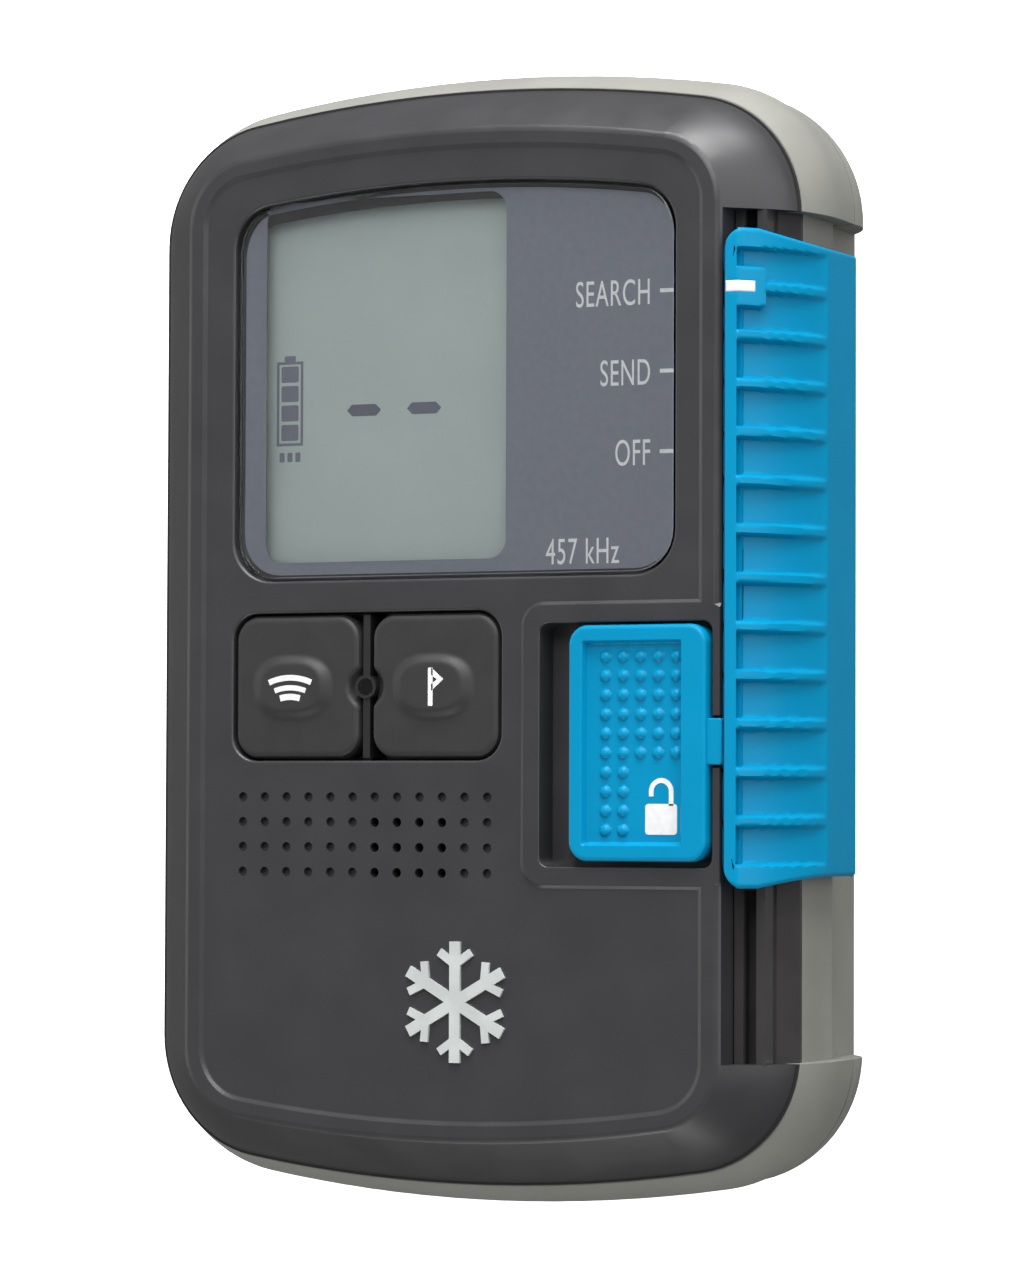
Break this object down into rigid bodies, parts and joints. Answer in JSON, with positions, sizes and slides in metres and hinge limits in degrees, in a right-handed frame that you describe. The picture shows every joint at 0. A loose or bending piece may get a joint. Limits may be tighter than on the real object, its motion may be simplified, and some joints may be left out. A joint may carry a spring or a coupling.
{
  "type": "avalanche transceiver",
  "caption": "Handheld avalanche rescue beacon with a display window, rubber keys, a sliding mode switch with a slide lock, a speaker and a battery compartment.",
  "frame": {"origin": "middle of the bounding box on the rear face, with the device lying on its back", "axes": "+Z out of the display, +Y towards the top end of the device, +X towards the side with the mode slider"},
  "size_m": [0.076, 0.118, 0.029],
  "materials": {
    "cover_charcoal": "satin charcoal polycarbonate blend",
    "case_grey": "matte warm grey moulded plastic",
    "seal_black": "soft black silicone",
    "screw_steel": "plain machined steel",
    "insert_brass": "knurled brass",
    "eye_steel": "bead blasted stainless steel",
    "cell_sleeve": "printed film sleeve over the steel can, with bright ends",
    "spring_steel": "nickel plated spring wire",
    "contact_nickel": "nickel plated strip",
    "lens_window": "clear hard-coated polycarbonate, printed grey on the back round the display",
    "glue_tape": "black foam tape",
    "lcd": "grey-green passive display",
    "white_plastic": "white moulded plastic",
    "zebra_rubber": "layered conductive rubber",
    "frame_black": "black glass-filled plastic",
    "key_rubber": "satin dark rubber",
    "clear_acrylic": "clear acrylic light guide",
    "led_body": "small surface mounted lamp",
    "switch_body": "black switch body with a steel cap",
    "mesh_cloth": "water-resistant acoustic cloth",
    "speaker_cone_film": "thin moulded film",
    "magnet_nickel": "nickel plated magnet",
    "board_green": "green solder mask over glass-fibre laminate",
    "chip_black": "black epoxy package",
    "small_ceramic": "ceramic parts with tinned ends",
    "tin_plate": "tin plated steel",
    "ferrite": "dark sintered ferrite",
    "copper_wire": "enamelled copper winding",
    "motor_steel": "drawn steel can",
    "tungsten": "sintered heavy metal",
    "slider_blue": "satin blue moulded plastic",
    "mark_white": "white plastic inlay",
    "rail_black": "polished black plastic",
    "badge_silver": "brushed silver foil"
  },
  "bodies": {
    "case": {"front_cover": "cover_charcoal", "mid_band": "case_grey", "rear_cover": "case_grey", "front_seal": "seal_black", "rear_seal": "seal_black", "case_screws": "screw_steel", "case_inserts": "insert_brass", "lanyard_eye": "eye_steel", "door_insert": "insert_brass", "battery_springs": "spring_steel", "battery_plates": "contact_nickel", "display_lens": "lens_window", "lens_gasket": "glue_tape", "lcd_glass": "lcd", "lcd_backlight": "white_plastic", "lcd_contacts": "zebra_rubber", "lcd_holder": "frame_black", "key_plate": "frame_black", "light_pipe": "clear_acrylic", "status_led": "led_body", "key_switches": "switch_body", "speaker_mesh": "mesh_cloth", "speaker_gasket": "glue_tape", "speaker_frame": "frame_black", "speaker_cone": "speaker_cone_film", "speaker_magnet": "magnet_nickel", "main_board": "board_green", "board_screws": "screw_steel", "chips": "chip_black", "small_parts": "small_ceramic", "radio_shield": "tin_plate", "antenna_core_long": "ferrite", "antenna_coil_long": "copper_wire", "antenna_core_cross": "ferrite", "antenna_coil_cross": "copper_wire", "antenna_core_upright": "ferrite", "antenna_coil_upright": "copper_wire", "antenna_holders": "frame_black", "motor_can": "motor_steel", "motor_holder": "seal_black", "slide_rail": "rail_black", "detent_spring": "spring_steel", "hall_sensors": "chip_black", "badge": "badge_silver", "battery_1": "cell_sleeve", "battery_2": "cell_sleeve", "battery_3": "cell_sleeve"},
    "slider": {"mode_slider": "slider_blue", "index_mark": "mark_white", "slider_magnet": "magnet_nickel"},
    "lock": {"lock_button": "slider_blue", "lock_plate": "frame_black", "lock_spring": "spring_steel"},
    "search_key_body": {"search_key": "key_rubber"},
    "mark_key_body": {"mark_key": "key_rubber"},
    "door": {"battery_door": "case_grey", "door_seal": "seal_black"},
    "door_screw_body": {"door_screw": "screw_steel"},
    "motor_rotor": {"motor_weight": "tungsten"}
  },
  "joints": [
    {"name": "mode_slide", "type": "slide", "parent": "case", "child": "slider", "axis": [0, -1, 0], "range_m": [0, 0.0163]},
    {"name": "lock_slide", "type": "slide", "parent": "case", "child": "lock", "axis": [-1, 0, 0], "range_m": [0, 0.0023], "stiffness_N_per_m": 1200},
    {"name": "search_key_press", "type": "slide", "parent": "case", "child": "search_key_body", "axis": [0, 0, -1], "range_m": [0, 0.0007], "stiffness_N_per_m": 3000},
    {"name": "mark_key_press", "type": "slide", "parent": "case", "child": "mark_key_body", "axis": [0, 0, -1], "range_m": [0, 0.0007], "stiffness_N_per_m": 3000},
    {"name": "door_lift", "type": "slide", "parent": "case", "child": "door", "axis": [0, 0, -1], "range_m": [0, 0.02]},
    {"name": "door_screw_turn", "type": "hinge", "parent": "door", "child": "door_screw_body", "pos_m": [0, 0.0067, 0.001], "axis": [0, 0, 1], "continuous": true},
    {"name": "motor_spin", "type": "hinge", "parent": "case", "child": "motor_rotor", "pos_m": [0.0265, -0.014, 0.0074], "axis": [0, 1, 0], "continuous": true}
  ]
}
